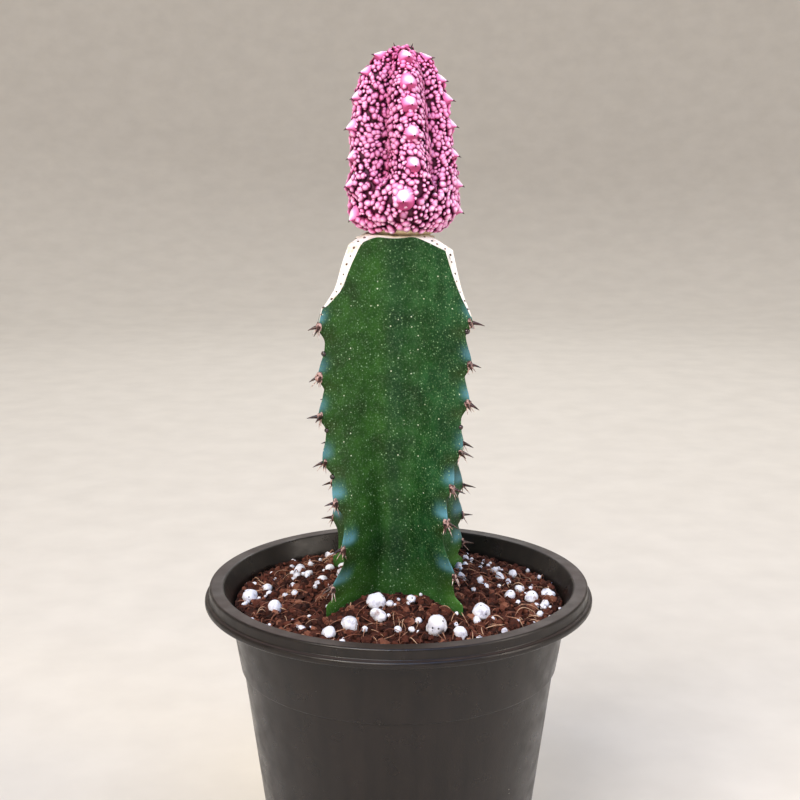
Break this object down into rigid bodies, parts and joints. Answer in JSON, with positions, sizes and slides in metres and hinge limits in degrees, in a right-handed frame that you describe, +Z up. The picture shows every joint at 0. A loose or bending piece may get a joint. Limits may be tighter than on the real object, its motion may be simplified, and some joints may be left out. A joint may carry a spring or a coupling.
{
  "type": "potted euphorbia",
  "caption": "Pink warty ribbed succulent grafted on a dark green winged stem with paired thorns, standing in soil in a round black nursery pot.",
  "frame": {"origin": "centre of the pot's foot, on the surface that it stands on", "axes": "+Z up along the pot's axis, -Y towards the front, +X to the right seen from the front"},
  "size_m": [0.1092, 0.1092, 0.2449],
  "materials": {
    "pot_plastic": "moulded, low sheen",
    "potting_soil": "loose fibrous mix with white grains",
    "stock_skin": "waxy skin",
    "scion_skin": "warty skin"
  },
  "bodies": {
    "root": {"pot": "pot_plastic", "soil": "potting_soil", "stock": "stock_skin", "scion": "scion_skin"}
  },
  "joints": []
}
